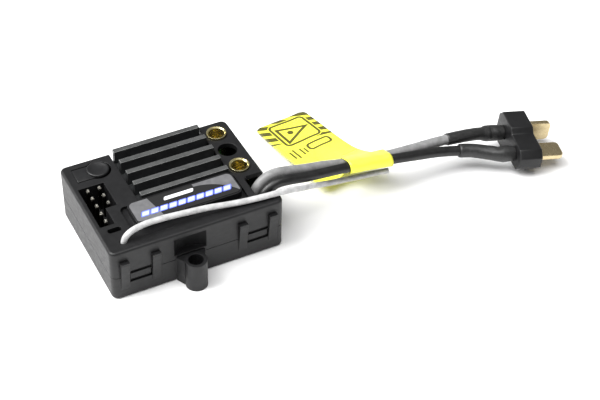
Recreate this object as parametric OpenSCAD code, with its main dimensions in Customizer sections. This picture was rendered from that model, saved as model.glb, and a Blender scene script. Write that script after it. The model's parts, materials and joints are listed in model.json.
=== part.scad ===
// Electronic speed controller with a built-in receiver, for a small radio-controlled car.
// X runs along the case from the servo pins to the battery lead, Y runs to the back and Z up.
// The origin is on the floor under the middle of the case.

/* [Case] */
// Length of the case along X
case_length = 38.8; // [38.6:0.1:39.2]
// Depth of the case along Y
case_depth = 29.8; // [29.6:0.1:30]
// Height of the flat top of the case
case_height = 12.8; // [12.7:0.1:13]
// Height of the joint between the two shells
seam_height = 6; // [5.8:0.1:6.2]
// Thickness of the walls, the floor and the top
wall = 1.2; // [1:0.1:1.3]
// Radius of the upright corners
corner_radius = 1.4; // [1.2:0.1:2]
// Radius along the top and bottom edges
edge_radius = 0.6; // [0.5:0.1:0.9]
// Gap left open along the joint between the shells
seam_gap = 0.12; // [0.05:0.01:0.2]

/* [Mounting ears] */
// Where the two ears are along X
ear_x = -2.1; // [-4:0.1:4]
// Distance from a case wall to its screw hole
ear_reach = 2.7; // [2.6:0.1:3.4]
// Outside diameter of the screw boss
boss_diameter = 4.7; // [4.6:0.1:5.2]
// Diameter of the screw hole
screw_hole = 3.2; // [2.6:0.1:3.4]
// Height of the screw boss
boss_height = 7; // [6:0.1:7]
// Radius of the driver's clearance in the case wall
driver_radius = 4.5; // [4.3:0.1:4.6]
// Height that the driver's clearance reaches
driver_height = 11.5; // [10.5:0.1:11.5]

/* [Latches] */
// Distance of each latch from the middle of the case
latch_x = 13.2; // [12.8:0.1:13.4]
// Distance between the middles of a latch's two legs
leg_spacing = 6.9; // [6.6:0.1:7]
// Width of one leg
leg_width = 1.9; // [1.5:0.1:2]
// Height of the tops of the legs
leg_top = 10.1; // [9:0.1:10.4]
// How far the top of a leg stands out from the wall
leg_proud = 0.9; // [0.6:0.1:1.1]

/* [Setup button] */
// Middle of the button along X
button_x = -12.1; // [-12.2:0.1:-12]
// Middle of the button along Y
button_y = 10.8; // [10.6:0.1:10.9]
// Diameter of the raised disc
button_diameter = 5; // [4.8:0.1:5.1]
// Width of the springy tongue
tongue_width = 4.1; // [3.6:0.1:4.2]
// Gap round the disc
button_gap = 0.35; // [0.3:0.01:0.4]
// Width of the slots beside the tongue
slot_width = 0.25; // [0.2:0.01:0.3]

/* [Heat sink] */
// Number of fins
fin_count = 5; // [3:1:5]
// Distance from one fin to the next
fin_pitch = 3.8; // [3.6:0.1:3.8]
// Thickness of a fin
fin_thickness = 1.2; // [0.8:0.1:1.4]
// Height of the tops of the fins
fin_top = 14.2; // [13.8:0.1:15]
// Length of the fins
fin_length = 19.9; // [16:0.1:19.9]

/* [Connections] */
// Distance between header pins
pin_pitch = 2.54; // [2.54]
// Width of a square header pin
pin_width = 0.64; // [0.5:0.01:0.64]
// Height of the pin tips
pin_top = 13.1; // [12:0.1:13.2]
// Outside diameter of a motor socket
socket_outer = 4.4; // [4.2:0.1:4.4]
// Bore of a motor socket
socket_bore = 3.5; // [3.2:0.1:3.5]
// Distance between one hole and the next in the row of three
socket_spacing = 5.9; // [5.8:0.1:6]
// Diameter of a power wire
wire_diameter = 2.35; // [2:0.05:2.4]
// Diameter of the aerial wire
aerial_diameter = 1.3; // [1:0.1:1.4]
// Diameter of the sleeves at the plug
sleeve_diameter = 3.3; // [3.2:0.1:3.4]

/* [Battery plug] */
// Middle of the plug along X
plug_x = 81; // [81]
// Middle of the plug along Y
plug_y = -12; // [-12]
// Angle of the plug about Z
plug_angle = -14; // [-14]
// Angle that the plug leans forward
plug_lean = 5; // [5]
// Width of the plug
plug_width = 15.6; // [15.4:0.1:16]
// Length of the plug's body
plug_length = 5.4; // [5:0.1:6]
// Height of the plug's thick half
plug_height = 8; // [7.8:0.1:8]
// Width of a blade
blade_width = 4.8; // [4:0.1:5]
// Thickness of a blade
blade_thickness = 1.2; // [1:0.1:1.3]
// How far the blades stand out
blade_reach = 5.9; // [4:0.1:7]

/* [Hidden] */
$fn = 48;
e = 0.01;

window_half = leg_spacing / 2 - leg_width / 2 - 0.05;
catch_top = 6.2;
inner_length = case_length - 2 * wall;
inner_depth = case_depth - 2 * wall;
half_length = case_length / 2;
half_depth = case_depth / 2;
ear_y = half_depth + ear_reach;
ceiling = case_height - wall;

// The board stands on corner posts above the floor.
post_size = 2;
board_bottom = 3.2;
board_top = 4.4;
board_gap = 0.2;

// The raised plate carries the label and stands in a sunken basin.
basin = [[-12.6, -12], [13.2, -2.4]];
basin_depth = 0.8;
plate = [[-11.2, -9.6], [12.6, -2.4]];
plate_top = 13.6;
label_margin = 0.35;
label_front = 0.3;
plate_radius = 1.5;
label_thickness = 0.12;

// The heat sink's pocket is open to the back, above sink_bottom.
pocket_left = -8.1;
pocket_right = 12.85;
pocket_front = -2.4;
sink_bottom = 9.6;
sink_plate_top = 11;
sink_gap = 0.3;
fins_left = -7.4;
sink_back = 14.2;
pedestal = [[-3.5, -0.5], [9.5, 11.8]];
pad_bottom = 5.7;
pad_top = 6.5;

// The header's two rows of pins stand in an L-shaped well.
row_5_x = -16.4;
row_3_x = row_5_x + pin_pitch;
first_pin_y = 5.35;
header_height = 2.5;
well_left = -half_length + wall;
well_back = 6.5;
well_middle = -1.2;
well_front = -6.3;
well_step = -15;
well_right = -12.5;
well_skirt = 0.8;
well_floor = 7.2;

socket_x = 15.6;
socket_middle_y = 5;
socket_top = 13.2;
socket_gap = 0.1;

// The battery lead leaves through a notch in the right wall.
notch_left = 14.7;
notch_back = -4.6;
notch_front = -11.2;
notch_bottom = 8.6;
notch_radius = 1;

// The tongue bends at its root, the hinge line.
hinge_x = -17.35;
hinge_gap = 0.06;
disc_rise = 0.5;
nib_radius = 0.8;
nib_bottom = 11.3;
plunger_top = 11.2;
plunger_bottom = 5.6;
plunger_radius = 0.95;
switch_height = 3.2;
switch_size = 4;

led_at = [-15.8, -8.1];
led_slot = [2.9, 1.3];
aerial_at = [-15.4, -12];
joint_height = 0.8;

// Routes of the cords, from the board to the far end.
aerial_route = [
    [-15.4, -12, 4.4], [-15.4, -12, 8], [-15.4, -12, 11], [-15.4, -12, 12.3], [-15, -12, 13.6],
    [-14, -11.9, 14.5], [-12.6, -11.7, 14.9], [-10.6, -11.4, 15], [-8, -11.2, 14.9], [-4.5, -11.2, 14.7],
    [0, -11.4, 14.4], [4.5, -11.7, 14.1], [9, -12.2, 13.7], [14, -12.8, 13.6], [19, -13.2, 13.6],
    [22, -12.9, 13], [25, -12, 11.6], [28, -10.9, 10.2], [31.5, -9.5, 8.3], [34.5, -8.4, 6.8],
    [38, -7.8, 5.8], [42, -7.8, 5.3], [45.5, -8, 5.1], [48.5, -8.4, 5]];
grey_route = [
    [16.5, -6.4, 5.2], [16.5, -6.4, 6.5], [16.5, -6.4, 7.7], [16.8, -6.4, 9.4], [17.7, -6.4, 10.9],
    [19, -6.4, 12], [20.6, -6.4, 12.6], [22.4, -6.4, 12.6], [25, -6.4, 12.1], [29, -6.3, 11.1],
    [33.5, -6.1, 10.1], [38.9, -6.2, 8.9], [44.2, -6.3, 8.1], [49.6, -6.5, 7.6], [55.8, -6.6, 7.3],
    [60.6, -6.6, 7.1], [64.4, -6.7, 6.9], [68.4, -6.8, 6.5], [72, -6.8, 5.9], [74.4, -6.8, 5.2]];
black_route = [
    [16.5, -9, 5.2], [16.5, -9, 7.3], [16.8, -9, 9], [17.7, -8.9, 10.5], [19, -8.9, 11.6], [20.6, -8.8, 12.2],
    [22.4, -8.8, 12.2], [24.6, -8.8, 11.9], [27.2, -8.8, 11.4], [29.8, -8.7, 11], [32.8, -8.6, 10.6],
    [37.2, -8.5, 10], [42.7, -8.6, 9.3], [48.5, -8.8, 8.5], [54.7, -9, 7.5], [61, -9.1, 6.3],
    [66, -9.9, 5.5], [68.8, -10.8, 5.2], [71.4, -12.2, 4.9]];
grey_sleeve_from = 16;
black_sleeve_from = 16;
tube_sides = 8;
sleeve_bore = 2.62;

contact_offset = 3.8;
tab_length = 3.4;
tab_width = 2.2;
tab_thickness = 1;
thin_half_height = 5.6;
plug_chamfer = 1.5;
plug_z = 4.25;
wire_gap = 0.25;

// The tag is a strip that lies under the lead, and a band of it runs round both wires.
tag_thickness = 0.3;
tag_width = 13.9;
tag_at = [39.2, 5];
tag_angle = 8;
tag_profile = [[-8.8, 2.8], [-6, 3], [-3, 2.9], [1, 2.5], [6, 1.9], [11, 1.3], [15, 0.6], [17.4, 0.02]];
tag_corner = 1.6;
band_left = 38;
band_right = 47.2;
band_upper = [-8.65, 9.6];
band_lower = [-6.35, 8.65];
band_bore = 3.3;
band_tilt = 7;
riser = [[-4.8, 7.5], [-2.6, 6.3], [1, 4.4], [5, 2.8], [6.4, 2.3]];

// A rectangle with round corners, about the origin.
module round_rectangle(size, radius) {
    square([size.x - 2 * radius, size.y], center = true);
    square([size.x, size.y - 2 * radius], center = true);
    for (sx = [-1, 1], sy = [-1, 1])
        translate([sx * (size.x / 2 - radius), sy * (size.y / 2 - radius)]) circle(radius);
}

// A rectangle with round corners, between two opposite corners.
module round_area(area, radius) {
    translate((area[0] + area[1]) / 2) round_rectangle(area[1] - area[0], radius);
}

// A box between two opposite corners.
module box(low, high) {
    translate(low) cube(high - low);
}

// A box on an area, between two heights.
module slab(area, bottom, top) {
    box([area[0].x, area[0].y, bottom], [area[1].x, area[1].y, top]);
}

// The outside of the case up to a height, round along its bottom edge.
module case_block(height) {
    straight = [case_length - 2 * corner_radius, case_depth - 2 * corner_radius];
    hull() for (sx = [-1, 1], sy = [-1, 1])
        translate([sx * straight.x / 2, sy * straight.y / 2, edge_radius]) {
            rotate_extrude($fn = 32) translate([corner_radius - edge_radius, 0]) circle(edge_radius, $fn = 32);
            cylinder(r = corner_radius, h = height - edge_radius, $fn = 32);
        }
}

// The space inside the walls, between two heights.
module case_room(bottom, top) {
    translate([0, 0, bottom]) linear_extrude(top - bottom)
        round_rectangle([inner_length, inner_depth], corner_radius - wall / 2);
}

// One latch leg: proud at its top and flush at its foot.
module latch_leg() {
    foot = 2.4;
    lip = 0.6;
    clearance = 0.05;
    translate([-leg_width / 2, 0, 0]) rotate([90, 0, 90]) linear_extrude(leg_width)
        polygon([[-wall, foot], [0, foot], [leg_proud, leg_top - lip], [leg_proud, leg_top],
            [clearance, leg_top], [clearance, seam_height], [-wall, seam_height]]);
}

// Places its children at each latch, with local +Y pointing out of the wall.
module at_latches() {
    for (x = [-latch_x, latch_x]) {
        translate([x, half_depth, 0]) children();
        translate([x, -half_depth, 0]) rotate(180) children();
    }
}

// Places its children at each ear's screw axis, with local +Y pointing to the case.
module at_ears() {
    translate([ear_x, -ear_y, 0]) children();
    translate([ear_x, ear_y, 0]) rotate(180) children();
}

module lower_case() {
    window_bottom = 3.9;
    web_tip = 2.2;
    web_root = 3.3;
    web_start = 0.6;
    color("#2b2b2d") difference() {
        union() {
            difference() {
                case_block(seam_height - seam_gap);
                case_room(wall, case_height);
            }
            for (sx = [-1, 1], sy = [-1, 1])
                translate([sx * (inner_length - post_size) / 2, sy * (inner_depth - post_size) / 2, wall - e])
                    translate([-post_size / 2, -post_size / 2, 0]) cube([post_size, post_size, board_bottom - wall + e]);
            at_latches() for (side = [-1, 1]) translate([side * leg_spacing / 2, 0, 0]) latch_leg();
            at_ears() {
                cylinder(d = boss_diameter, h = boss_height);
                linear_extrude(boss_height - 0.5) polygon([[-web_tip, web_start], [-web_root, ear_reach + e],
                    [web_root, ear_reach + e], [web_tip, web_start]]);
            }
        }
        at_ears() translate([0, 0, -1]) cylinder(d = screw_hole, h = boss_height + 2);
        at_latches() box([-window_half, -wall - 1, window_bottom], [window_half, 1, case_height]);
    }
}

module pin_well_area(grow) {
    translate([well_left - grow, well_front - grow])
        square([well_step - well_left + 2 * grow, well_back - well_front + 2 * grow]);
    translate([well_left - grow, well_middle - grow])
        square([well_right - well_left + 2 * grow, well_back - well_middle + 2 * grow]);
}

// The tongue and its disc from above, with gaps at the sides of the tongue and round the disc.
module button_area(slot, gap) {
    translate([hinge_x, button_y - tongue_width / 2 - slot])
        square([button_x - hinge_x, tongue_width + 2 * slot]);
    translate([button_x, button_y]) circle(button_diameter / 2 + gap);
}

// The cover's tongue behind a latch, with its catch bar.
module latch_tongue() {
    width = window_half - 0.2;
    box([-width, -wall, 4], [width, -wall / 3, catch_top + 1]);
    box([-width, -wall, 4.7], [width, -0.05, catch_top]);
}

module top_cover() {
    basin_floor = case_height - basin_depth;
    color("#2b2b2d") difference() {
        union() {
            difference() {
                intersection() {
                    translate([0, 0, case_height]) mirror([0, 0, 1]) case_block(case_height - seam_height);
                    translate([0, 0, seam_height]) linear_extrude(case_height)
                        square([2 * case_length, 2 * case_depth], center = true);
                }
                case_room(0, ceiling);
            }
            intersection() {
                at_ears() translate([0, 0, seam_height + 0.8])
                    cylinder(r = driver_radius + 0.8, h = case_height - seam_height - 1.4);
                case_room(0, case_height - 0.4);
            }
            slab([[basin[0].x - 0.8, basin[0].y - 0.5], [basin[1].x, basin[1].y]], ceiling - 0.8, ceiling + e);
            translate([0, 0, basin_floor - 0.6]) linear_extrude(plate_top - basin_floor + 0.6)
                round_area(plate, plate_radius);
            translate([0, 0, well_floor]) linear_extrude(ceiling - well_floor + e) intersection() {
                pin_well_area(well_skirt);
                square([inner_length, inner_depth], center = true);
            }
            at_latches() latch_tongue();
        }
        // The basin round the plate.
        translate([0, 0, basin_floor]) linear_extrude(5) difference() {
            round_area([basin[0], [basin[1].x, basin[1].y + e]], 1.2);
            round_area(plate, plate_radius);
        }
        // The pocket of the heat sink.
        box([pocket_left, pocket_front, sink_bottom], [pocket_right, half_depth + 1, case_height + 3]);
        // The well of the pins.
        linear_extrude(case_height + 1) pin_well_area(0);
        // The hole of the button, deeper where the disc travels over the wall.
        translate([0, 0, ceiling - 0.9]) linear_extrude(3) button_area(slot_width, button_gap);
        // The slot over the lamp and the hole of the aerial.
        translate([led_at.x, led_at.y, ceiling - 1]) linear_extrude(3) round_rectangle(led_slot, 0.5);
        translate([aerial_at.x, aerial_at.y, ceiling - 1]) cylinder(d = aerial_diameter + 0.3, h = 3);
        // The row of three motor holes.
        for (i = [-1:1])
            translate([socket_x, socket_middle_y + i * socket_spacing, ceiling - 1])
                cylinder(d = i == 0 ? socket_outer - 0.1 : socket_outer + 2 * socket_gap, h = 4);
        // The notch of the battery lead.
        translate([0, 0, notch_bottom]) linear_extrude(6)
            round_area([[notch_left, notch_front], [half_length + 2, notch_back]], notch_radius);
        // The driver's clearance above each ear.
        at_ears() translate([0, 0, boss_height]) cylinder(r = driver_radius, h = driver_height - boss_height);
        // The slot above each latch's catch bar.
        at_latches() box([-window_half, -wall / 3, catch_top], [window_half, 1, catch_top + 0.8]);
    }
}

module setup_button() {
    color("#303032") {
        difference() {
            translate([0, 0, ceiling]) linear_extrude(wall) button_area(0, 0);
            box([hinge_x - 1, 0, ceiling - 1], [hinge_x + hinge_gap, case_depth, case_height + 1]);
            // The tongue thins near its root, where it bends.
            box([hinge_x, 0, ceiling - 1], [hinge_x + 1.6, case_depth, ceiling + 0.5]);
        }
        translate([button_x, button_y, case_height - e]) cylinder(d = button_diameter - 0.2, h = disc_rise + e);
        translate([button_x, button_y, nib_bottom]) cylinder(r = nib_radius, h = ceiling - nib_bottom + e);
    }
}

module tact_switch() {
    color("#8d9094") difference() {
        translate([button_x - switch_size / 2, button_y - switch_size / 2, board_top])
            cube([switch_size, switch_size, switch_height]);
        translate([button_x, button_y, board_top + 0.5]) cylinder(r = plunger_radius + 0.1, h = switch_height);
    }
}

module switch_plunger() {
    color("#e8e4d8") translate([button_x, button_y, plunger_bottom])
        cylinder(r = plunger_radius, h = plunger_top - plunger_bottom);
}

module main_board() {
    hole = 1;
    color("#1f5a38") difference() {
        translate([0, 0, board_bottom]) linear_extrude(board_top - board_bottom)
            round_rectangle([inner_length - 2 * board_gap, inner_depth - 2 * board_gap], 1);
        for (i = [0:4]) translate([row_5_x, first_pin_y - i * pin_pitch, 0]) cylinder(d = hole, h = 9);
        for (i = [0:2]) translate([row_3_x, first_pin_y - i * pin_pitch, 0]) cylinder(d = hole, h = 9);
    }
}

module heat_sink() {
    first_fin = sink_back - fin_thickness;
    color("#1d1d1f") {
        slab(pedestal, pad_top, sink_bottom + e);
        box([fins_left - 0.4, pocket_front + sink_gap, sink_bottom], [pocket_right - 0.25, sink_back, sink_plate_top]);
        for (i = [0:fin_count - 1])
            translate([fins_left, first_fin - i * fin_pitch, sink_plate_top - e])
                cube([fin_length, fin_thickness, fin_top - sink_plate_top + e]);
    }
}

module thermal_pad() {
    color("#9fb4c9") slab(pedestal, pad_bottom, pad_top);
}

module power_transistors() {
    color("#26262a") for (x = [-2.9, 4], y = [-0.2, 6.2])
        box([x, y, board_top], [x + 5, y + 5.6, pad_bottom]);
}

module controller_chip() {
    color("#232327") box([5, -12, board_top], [11.5, -5.5, board_top + 1.1]);
}

module radio_chip() {
    color("#232327") box([-13.6, -8.2, board_top], [-9.6, -4.2, board_top + 0.9]);
}

module radio_crystal() {
    color("#c9c9c4") box([-13.2, -11.6, board_top], [-10, -9.4, board_top + 0.8]);
}

// A chip capacitor: a square foot with a can on it.
module can_capacitor(x) {
    translate([x, -7, board_top]) {
        translate([-2.7, -2.7, 0]) cube([5.4, 5.4, 0.6]);
        translate([0, 0, 0.6 - e]) cylinder(d = 5, h = 5.2);
    }
}

module capacitor_left() {
    color("#b9bcc0") can_capacitor(-5.6);
}

module capacitor_right() {
    color("#b9bcc0") can_capacitor(0.9);
}

module voltage_regulator() {
    color("#232327") box([-11.4, 0, board_top], [-7.9, 6.5, board_top + 1.6]);
    color("#c9c9c4") for (y = [0.6, 2.9, 5.2]) box([-7.9, y, board_top], [-6.6, y + 0.7, board_top + 0.3]);
}

module ceramic_capacitors() {
    color("#b08d62") for (i = [0:3]) translate([12.6, -11.6 + 2.3 * i, board_top]) cube([2, 1.3, 1]);
}

module status_led() {
    color("#e9e6cf") translate([led_at.x - 0.8, led_at.y - 0.45, board_top]) cube([1.6, 0.9, 0.7]);
}

// The plastic foot of a row of pins, with a square hole for each pin.
module header_base(x, count) {
    difference() {
        translate([x - pin_pitch / 2 + 0.02, first_pin_y + pin_pitch / 2 - count * pin_pitch, board_top])
            cube([pin_pitch - 0.04, count * pin_pitch, header_height]);
        for (i = [0:count - 1])
            translate([x, first_pin_y - i * pin_pitch, board_top + header_height / 2])
                cube([pin_width, pin_width, header_height + 1], center = true);
    }
}

// A row of square pins with pointed tips.
module header_pins(x, count) {
    tail = 2.4;
    tip = 0.35;
    point = 0.5;
    for (i = [0:count - 1]) translate([x, first_pin_y - i * pin_pitch, 0]) {
        translate([-pin_width / 2, -pin_width / 2, tail]) cube([pin_width, pin_width, pin_top - tip - tail]);
        translate([0, 0, pin_top - tip - e]) linear_extrude(tip + e, scale = point)
            square(pin_width, center = true);
    }
}

module header_base_5() {
    color("#202022") header_base(row_5_x, 5);
}

module header_base_3() {
    color("#202022") header_base(row_3_x, 3);
}

module header_pins_5() {
    color("#d9c27a") header_pins(row_5_x, 5);
}

module header_pins_3() {
    color("#d9c27a") header_pins(row_3_x, 3);
}

// A bullet socket: a tube with a closed foot and a small lead-in.
module motor_socket(y) {
    lead_in = 0.25;
    translate([socket_x, y, 0]) difference() {
        translate([0, 0, board_top]) cylinder(d = socket_outer, h = socket_top - board_top);
        translate([0, 0, board_top + 0.8]) cylinder(d = socket_bore, h = socket_top);
        translate([0, 0, socket_top - lead_in])
            cylinder(d1 = socket_bore, d2 = socket_bore + 2 * lead_in, h = lead_in + e);
    }
}

module motor_socket_rear() {
    color("#d8a93a") motor_socket(socket_middle_y + socket_spacing);
}

module motor_socket_front() {
    color("#d8a93a") motor_socket(socket_middle_y - socket_spacing);
}

module name_label() {
    inset = [label_margin, label_margin];
    color("#101114") translate([0, 0, plate_top]) linear_extrude(label_thickness)
        round_area([plate[0] + inset, plate[1] - inset - [0, label_front]], plate_radius - label_margin);
}

module solder_joints() {
    color("#c9cbce") for (y = [grey_route[0].y, black_route[0].y])
        translate([grey_route[0].x, y, board_top]) cylinder(d1 = 2.5, d2 = 2.1, h = joint_height);
}

function unit(v) = v / norm(v);
function along(p, i) = unit(p[min(i + 1, len(p) - 1)] - p[max(i - 1, 0)]);
function ring(p, i, r) =
    let (t = along(p, i), u = unit(cross(t, [0, 1, 0])), v = cross(t, u))
    [for (k = [0:tube_sides - 1]) p[i] + r * (cos(360 * k / tube_sides) * u + sin(360 * k / tube_sides) * v)];

// A solid round tube along a route.
module tube(route, diameter) {
    n = len(route);
    s = tube_sides;
    polyhedron(
        points = [for (i = [0:n - 1]) each ring(route, i, diameter / 2)],
        faces = concat(
            [[for (k = [0:s - 1]) k]],
            [for (i = [0:n - 2], k = [0:s - 1])
                [i * s + k, (i + 1) * s + k, (i + 1) * s + (k + 1) % s, i * s + (k + 1) % s]],
            [[for (k = [s - 1:-1:0]) (n - 1) * s + k]]));
}

// A point of the plug: along its axis, across it, and above its middle.
function plug_point(axial, across, rise) =
    let (x = axial * cos(plug_lean) + rise * sin(plug_lean), z = rise * cos(plug_lean) - axial * sin(plug_lean))
    [plug_x + x * cos(plug_angle) - across * sin(plug_angle),
        plug_y + x * sin(plug_angle) + across * cos(plug_angle), plug_z + z];
function part_of(route, first) = [for (i = [first:len(route) - 1]) route[i]];
function wire_end(side) = plug_point(-plug_length / 2 - tab_length - wire_gap, side * contact_offset, 0);
function rear_face(side) = plug_point(-plug_length / 2, side * contact_offset, 0);

grey_wire = concat(grey_route, [wire_end(1)]);
black_wire = concat(black_route, [wire_end(-1)]);

module aerial_wire() {
    color("#e4e4e2") tube(aerial_route, aerial_diameter);
}

module power_wire_grey() {
    color("#77787b") tube(grey_wire, wire_diameter);
}

module power_wire_black() {
    color("#19191b") tube(black_wire, wire_diameter);
}

// A sleeve round the last stretch of a wire and the tab that it is soldered to.
module heat_shrink(wire, first, side) {
    covered = concat(part_of(wire, first), [rear_face(side)]);
    over = unit(covered[0] - covered[1]);
    past = unit(rear_face(side) - wire_end(side));
    bore = concat([covered[0] + over], covered, [rear_face(side) + past]);
    color("#1b1b1d") difference() {
        tube(covered, sleeve_diameter);
        tube(bore, sleeve_bore);
    }
}

module heat_shrink_grey() {
    heat_shrink(grey_wire, grey_sleeve_from, 1);
}

module heat_shrink_black() {
    heat_shrink(black_wire, black_sleeve_from, -1);
}

// Places its children in the plug's own axes: X out of the plug, Y across it.
module at_plug() {
    translate([plug_x, plug_y, plug_z]) rotate([0, plug_lean, plug_angle]) children();
}

module plug_housing() {
    half = plug_width / 2;
    tall = plug_height / 2;
    low = thin_half_height / 2;
    c = plug_chamfer;
    step = 0.4;
    color("#1a1a1c") at_plug() difference() {
        rotate([90, 0, 90]) linear_extrude(plug_length, center = true) polygon([
            [-half, -low + c], [-half + c, -low], [step - 1, -low], [step, -tall], [half - c, -tall], [half, -tall + c],
            [half, tall - c], [half - c, tall], [step, tall], [step - 1, low], [-half + c, low], [-half, low - c]]);
        for (side = [-1, 1]) translate([0, side * contact_offset, 0]) blade(side, 2 * plug_length);
    }
}

// A blade's section swept over a length; the one at +Y stands upright.
module blade(side, length) {
    size = side > 0 ? [length, blade_thickness, blade_width] : [length, blade_width, blade_thickness];
    cube(size, center = true);
}

module plug_blade(side) {
    full = plug_length + blade_reach;
    at_plug() translate([0, side * contact_offset, 0]) {
        translate([blade_reach / 2, 0, 0]) blade(side, full);
        translate([-plug_length / 2 - tab_length / 2, 0, 0])
            cube(side > 0 ? [tab_length, tab_thickness, tab_width] : [tab_length, tab_width, tab_thickness], center = true);
    }
}

module plug_blade_upright() {
    color("#b08a4a") plug_blade(1);
}

module plug_blade_flat() {
    color("#b08a4a") plug_blade(-1);
}

// A closed strip of film along a profile, thickened upwards.
function film(profile) =
    let (n = len(profile)) concat(profile, [for (i = [n - 1:-1:0]) profile[i] + [0, tag_thickness]]);

module warning_tag() {
    first = tag_profile[0].x;
    last = tag_profile[len(tag_profile) - 1].x;
    color("#f2ee55") {
        translate(tag_at) rotate(tag_angle) intersection() {
            translate([-tag_width / 2, 0, 0]) rotate([90, 0, 90]) linear_extrude(tag_width) polygon(film(tag_profile));
            linear_extrude(case_height) round_area([[-tag_width / 2, first], [tag_width / 2, last]], tag_corner);
        }
        translate([band_left, 0, 0]) rotate([0, band_tilt, 0]) rotate([90, 0, 90])
            linear_extrude(band_right - band_left) difference() {
                band_section(band_bore + 2 * tag_thickness);
                band_section(band_bore);
            }
        translate([band_left, 0, 0]) rotate([90, 0, 90]) linear_extrude(tag_width / 2) polygon(film(riser));
    }
}

// The section of the band: a slot shape round the two wires.
module band_section(diameter) {
    across = band_upper - band_lower;
    for (at = [band_upper, band_lower]) translate(at) circle(d = diameter);
    translate((band_upper + band_lower) / 2) rotate(atan2(across.y, across.x))
        square([norm(across), diameter], center = true);
}

lower_case();
top_cover();
setup_button();
tact_switch();
switch_plunger();
main_board();
heat_sink();
thermal_pad();
power_transistors();
controller_chip();
radio_chip();
radio_crystal();
capacitor_left();
capacitor_right();
voltage_regulator();
ceramic_capacitors();
status_led();
header_base_5();
header_base_3();
header_pins_5();
header_pins_3();
motor_socket_rear();
motor_socket_front();
name_label();
solder_joints();
aerial_wire();
power_wire_grey();
power_wire_black();
heat_shrink_grey();
heat_shrink_black();
plug_housing();
plug_blade_upright();
plug_blade_flat();
warning_tag();
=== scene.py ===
import json
import math

import bmesh
import bpy
from mathutils import Matrix, Quaternion, Vector, noise

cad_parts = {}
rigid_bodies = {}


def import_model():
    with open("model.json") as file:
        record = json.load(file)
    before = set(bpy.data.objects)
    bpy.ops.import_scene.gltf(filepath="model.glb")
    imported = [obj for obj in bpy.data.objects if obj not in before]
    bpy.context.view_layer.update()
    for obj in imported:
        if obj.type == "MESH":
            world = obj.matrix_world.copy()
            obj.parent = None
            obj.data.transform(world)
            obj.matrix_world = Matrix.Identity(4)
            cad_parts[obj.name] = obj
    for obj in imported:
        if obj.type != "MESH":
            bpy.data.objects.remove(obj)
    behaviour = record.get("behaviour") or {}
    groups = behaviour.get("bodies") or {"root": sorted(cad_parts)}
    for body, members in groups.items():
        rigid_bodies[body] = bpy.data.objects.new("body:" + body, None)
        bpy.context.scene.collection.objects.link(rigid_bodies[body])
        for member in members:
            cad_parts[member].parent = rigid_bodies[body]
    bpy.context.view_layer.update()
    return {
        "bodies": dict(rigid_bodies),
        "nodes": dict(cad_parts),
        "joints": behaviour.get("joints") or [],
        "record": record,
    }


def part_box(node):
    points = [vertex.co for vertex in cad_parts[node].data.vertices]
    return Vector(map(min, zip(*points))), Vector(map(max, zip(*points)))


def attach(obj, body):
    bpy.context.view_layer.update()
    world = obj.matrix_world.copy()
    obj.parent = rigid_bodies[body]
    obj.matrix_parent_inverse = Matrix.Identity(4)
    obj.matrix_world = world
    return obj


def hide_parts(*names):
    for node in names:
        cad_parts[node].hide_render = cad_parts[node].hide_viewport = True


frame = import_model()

MM = 0.001


def mm(*values):
    """A point given in millimetres, in metres."""
    return Vector(values) * MM


# ---------------------------------------------------------------- camera

CAMERA_TARGET = mm(26.41, -8.69, 5.0)
CAMERA_DISTANCE = 0.31503
CAMERA_AZIMUTH = math.radians(-28.18)
CAMERA_ELEVATION = math.radians(42.0)
CAMERA_ROLL = math.radians(1.69)
CAMERA_LENS = 87.27


def make_camera():
    """A camera that looks down at the object from its front left."""
    flat = math.cos(CAMERA_ELEVATION)
    toward = Vector((math.sin(CAMERA_AZIMUTH) * flat, -math.cos(CAMERA_AZIMUTH) * flat,
                     math.sin(CAMERA_ELEVATION)))
    camera = bpy.data.objects.new("camera", bpy.data.cameras.new("camera"))
    camera.data.lens = CAMERA_LENS
    camera.data.clip_start = 0.01
    turn = toward.to_track_quat("Z", "Y") @ Quaternion((0, 0, 1), CAMERA_ROLL)
    at = Matrix.Translation(CAMERA_TARGET + toward * CAMERA_DISTANCE)
    camera.matrix_world = at @ turn.to_matrix().to_4x4()
    bpy.context.scene.collection.objects.link(camera)
    bpy.context.scene.camera = camera


make_camera()

# ---------------------------------------------------------------- materials


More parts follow.
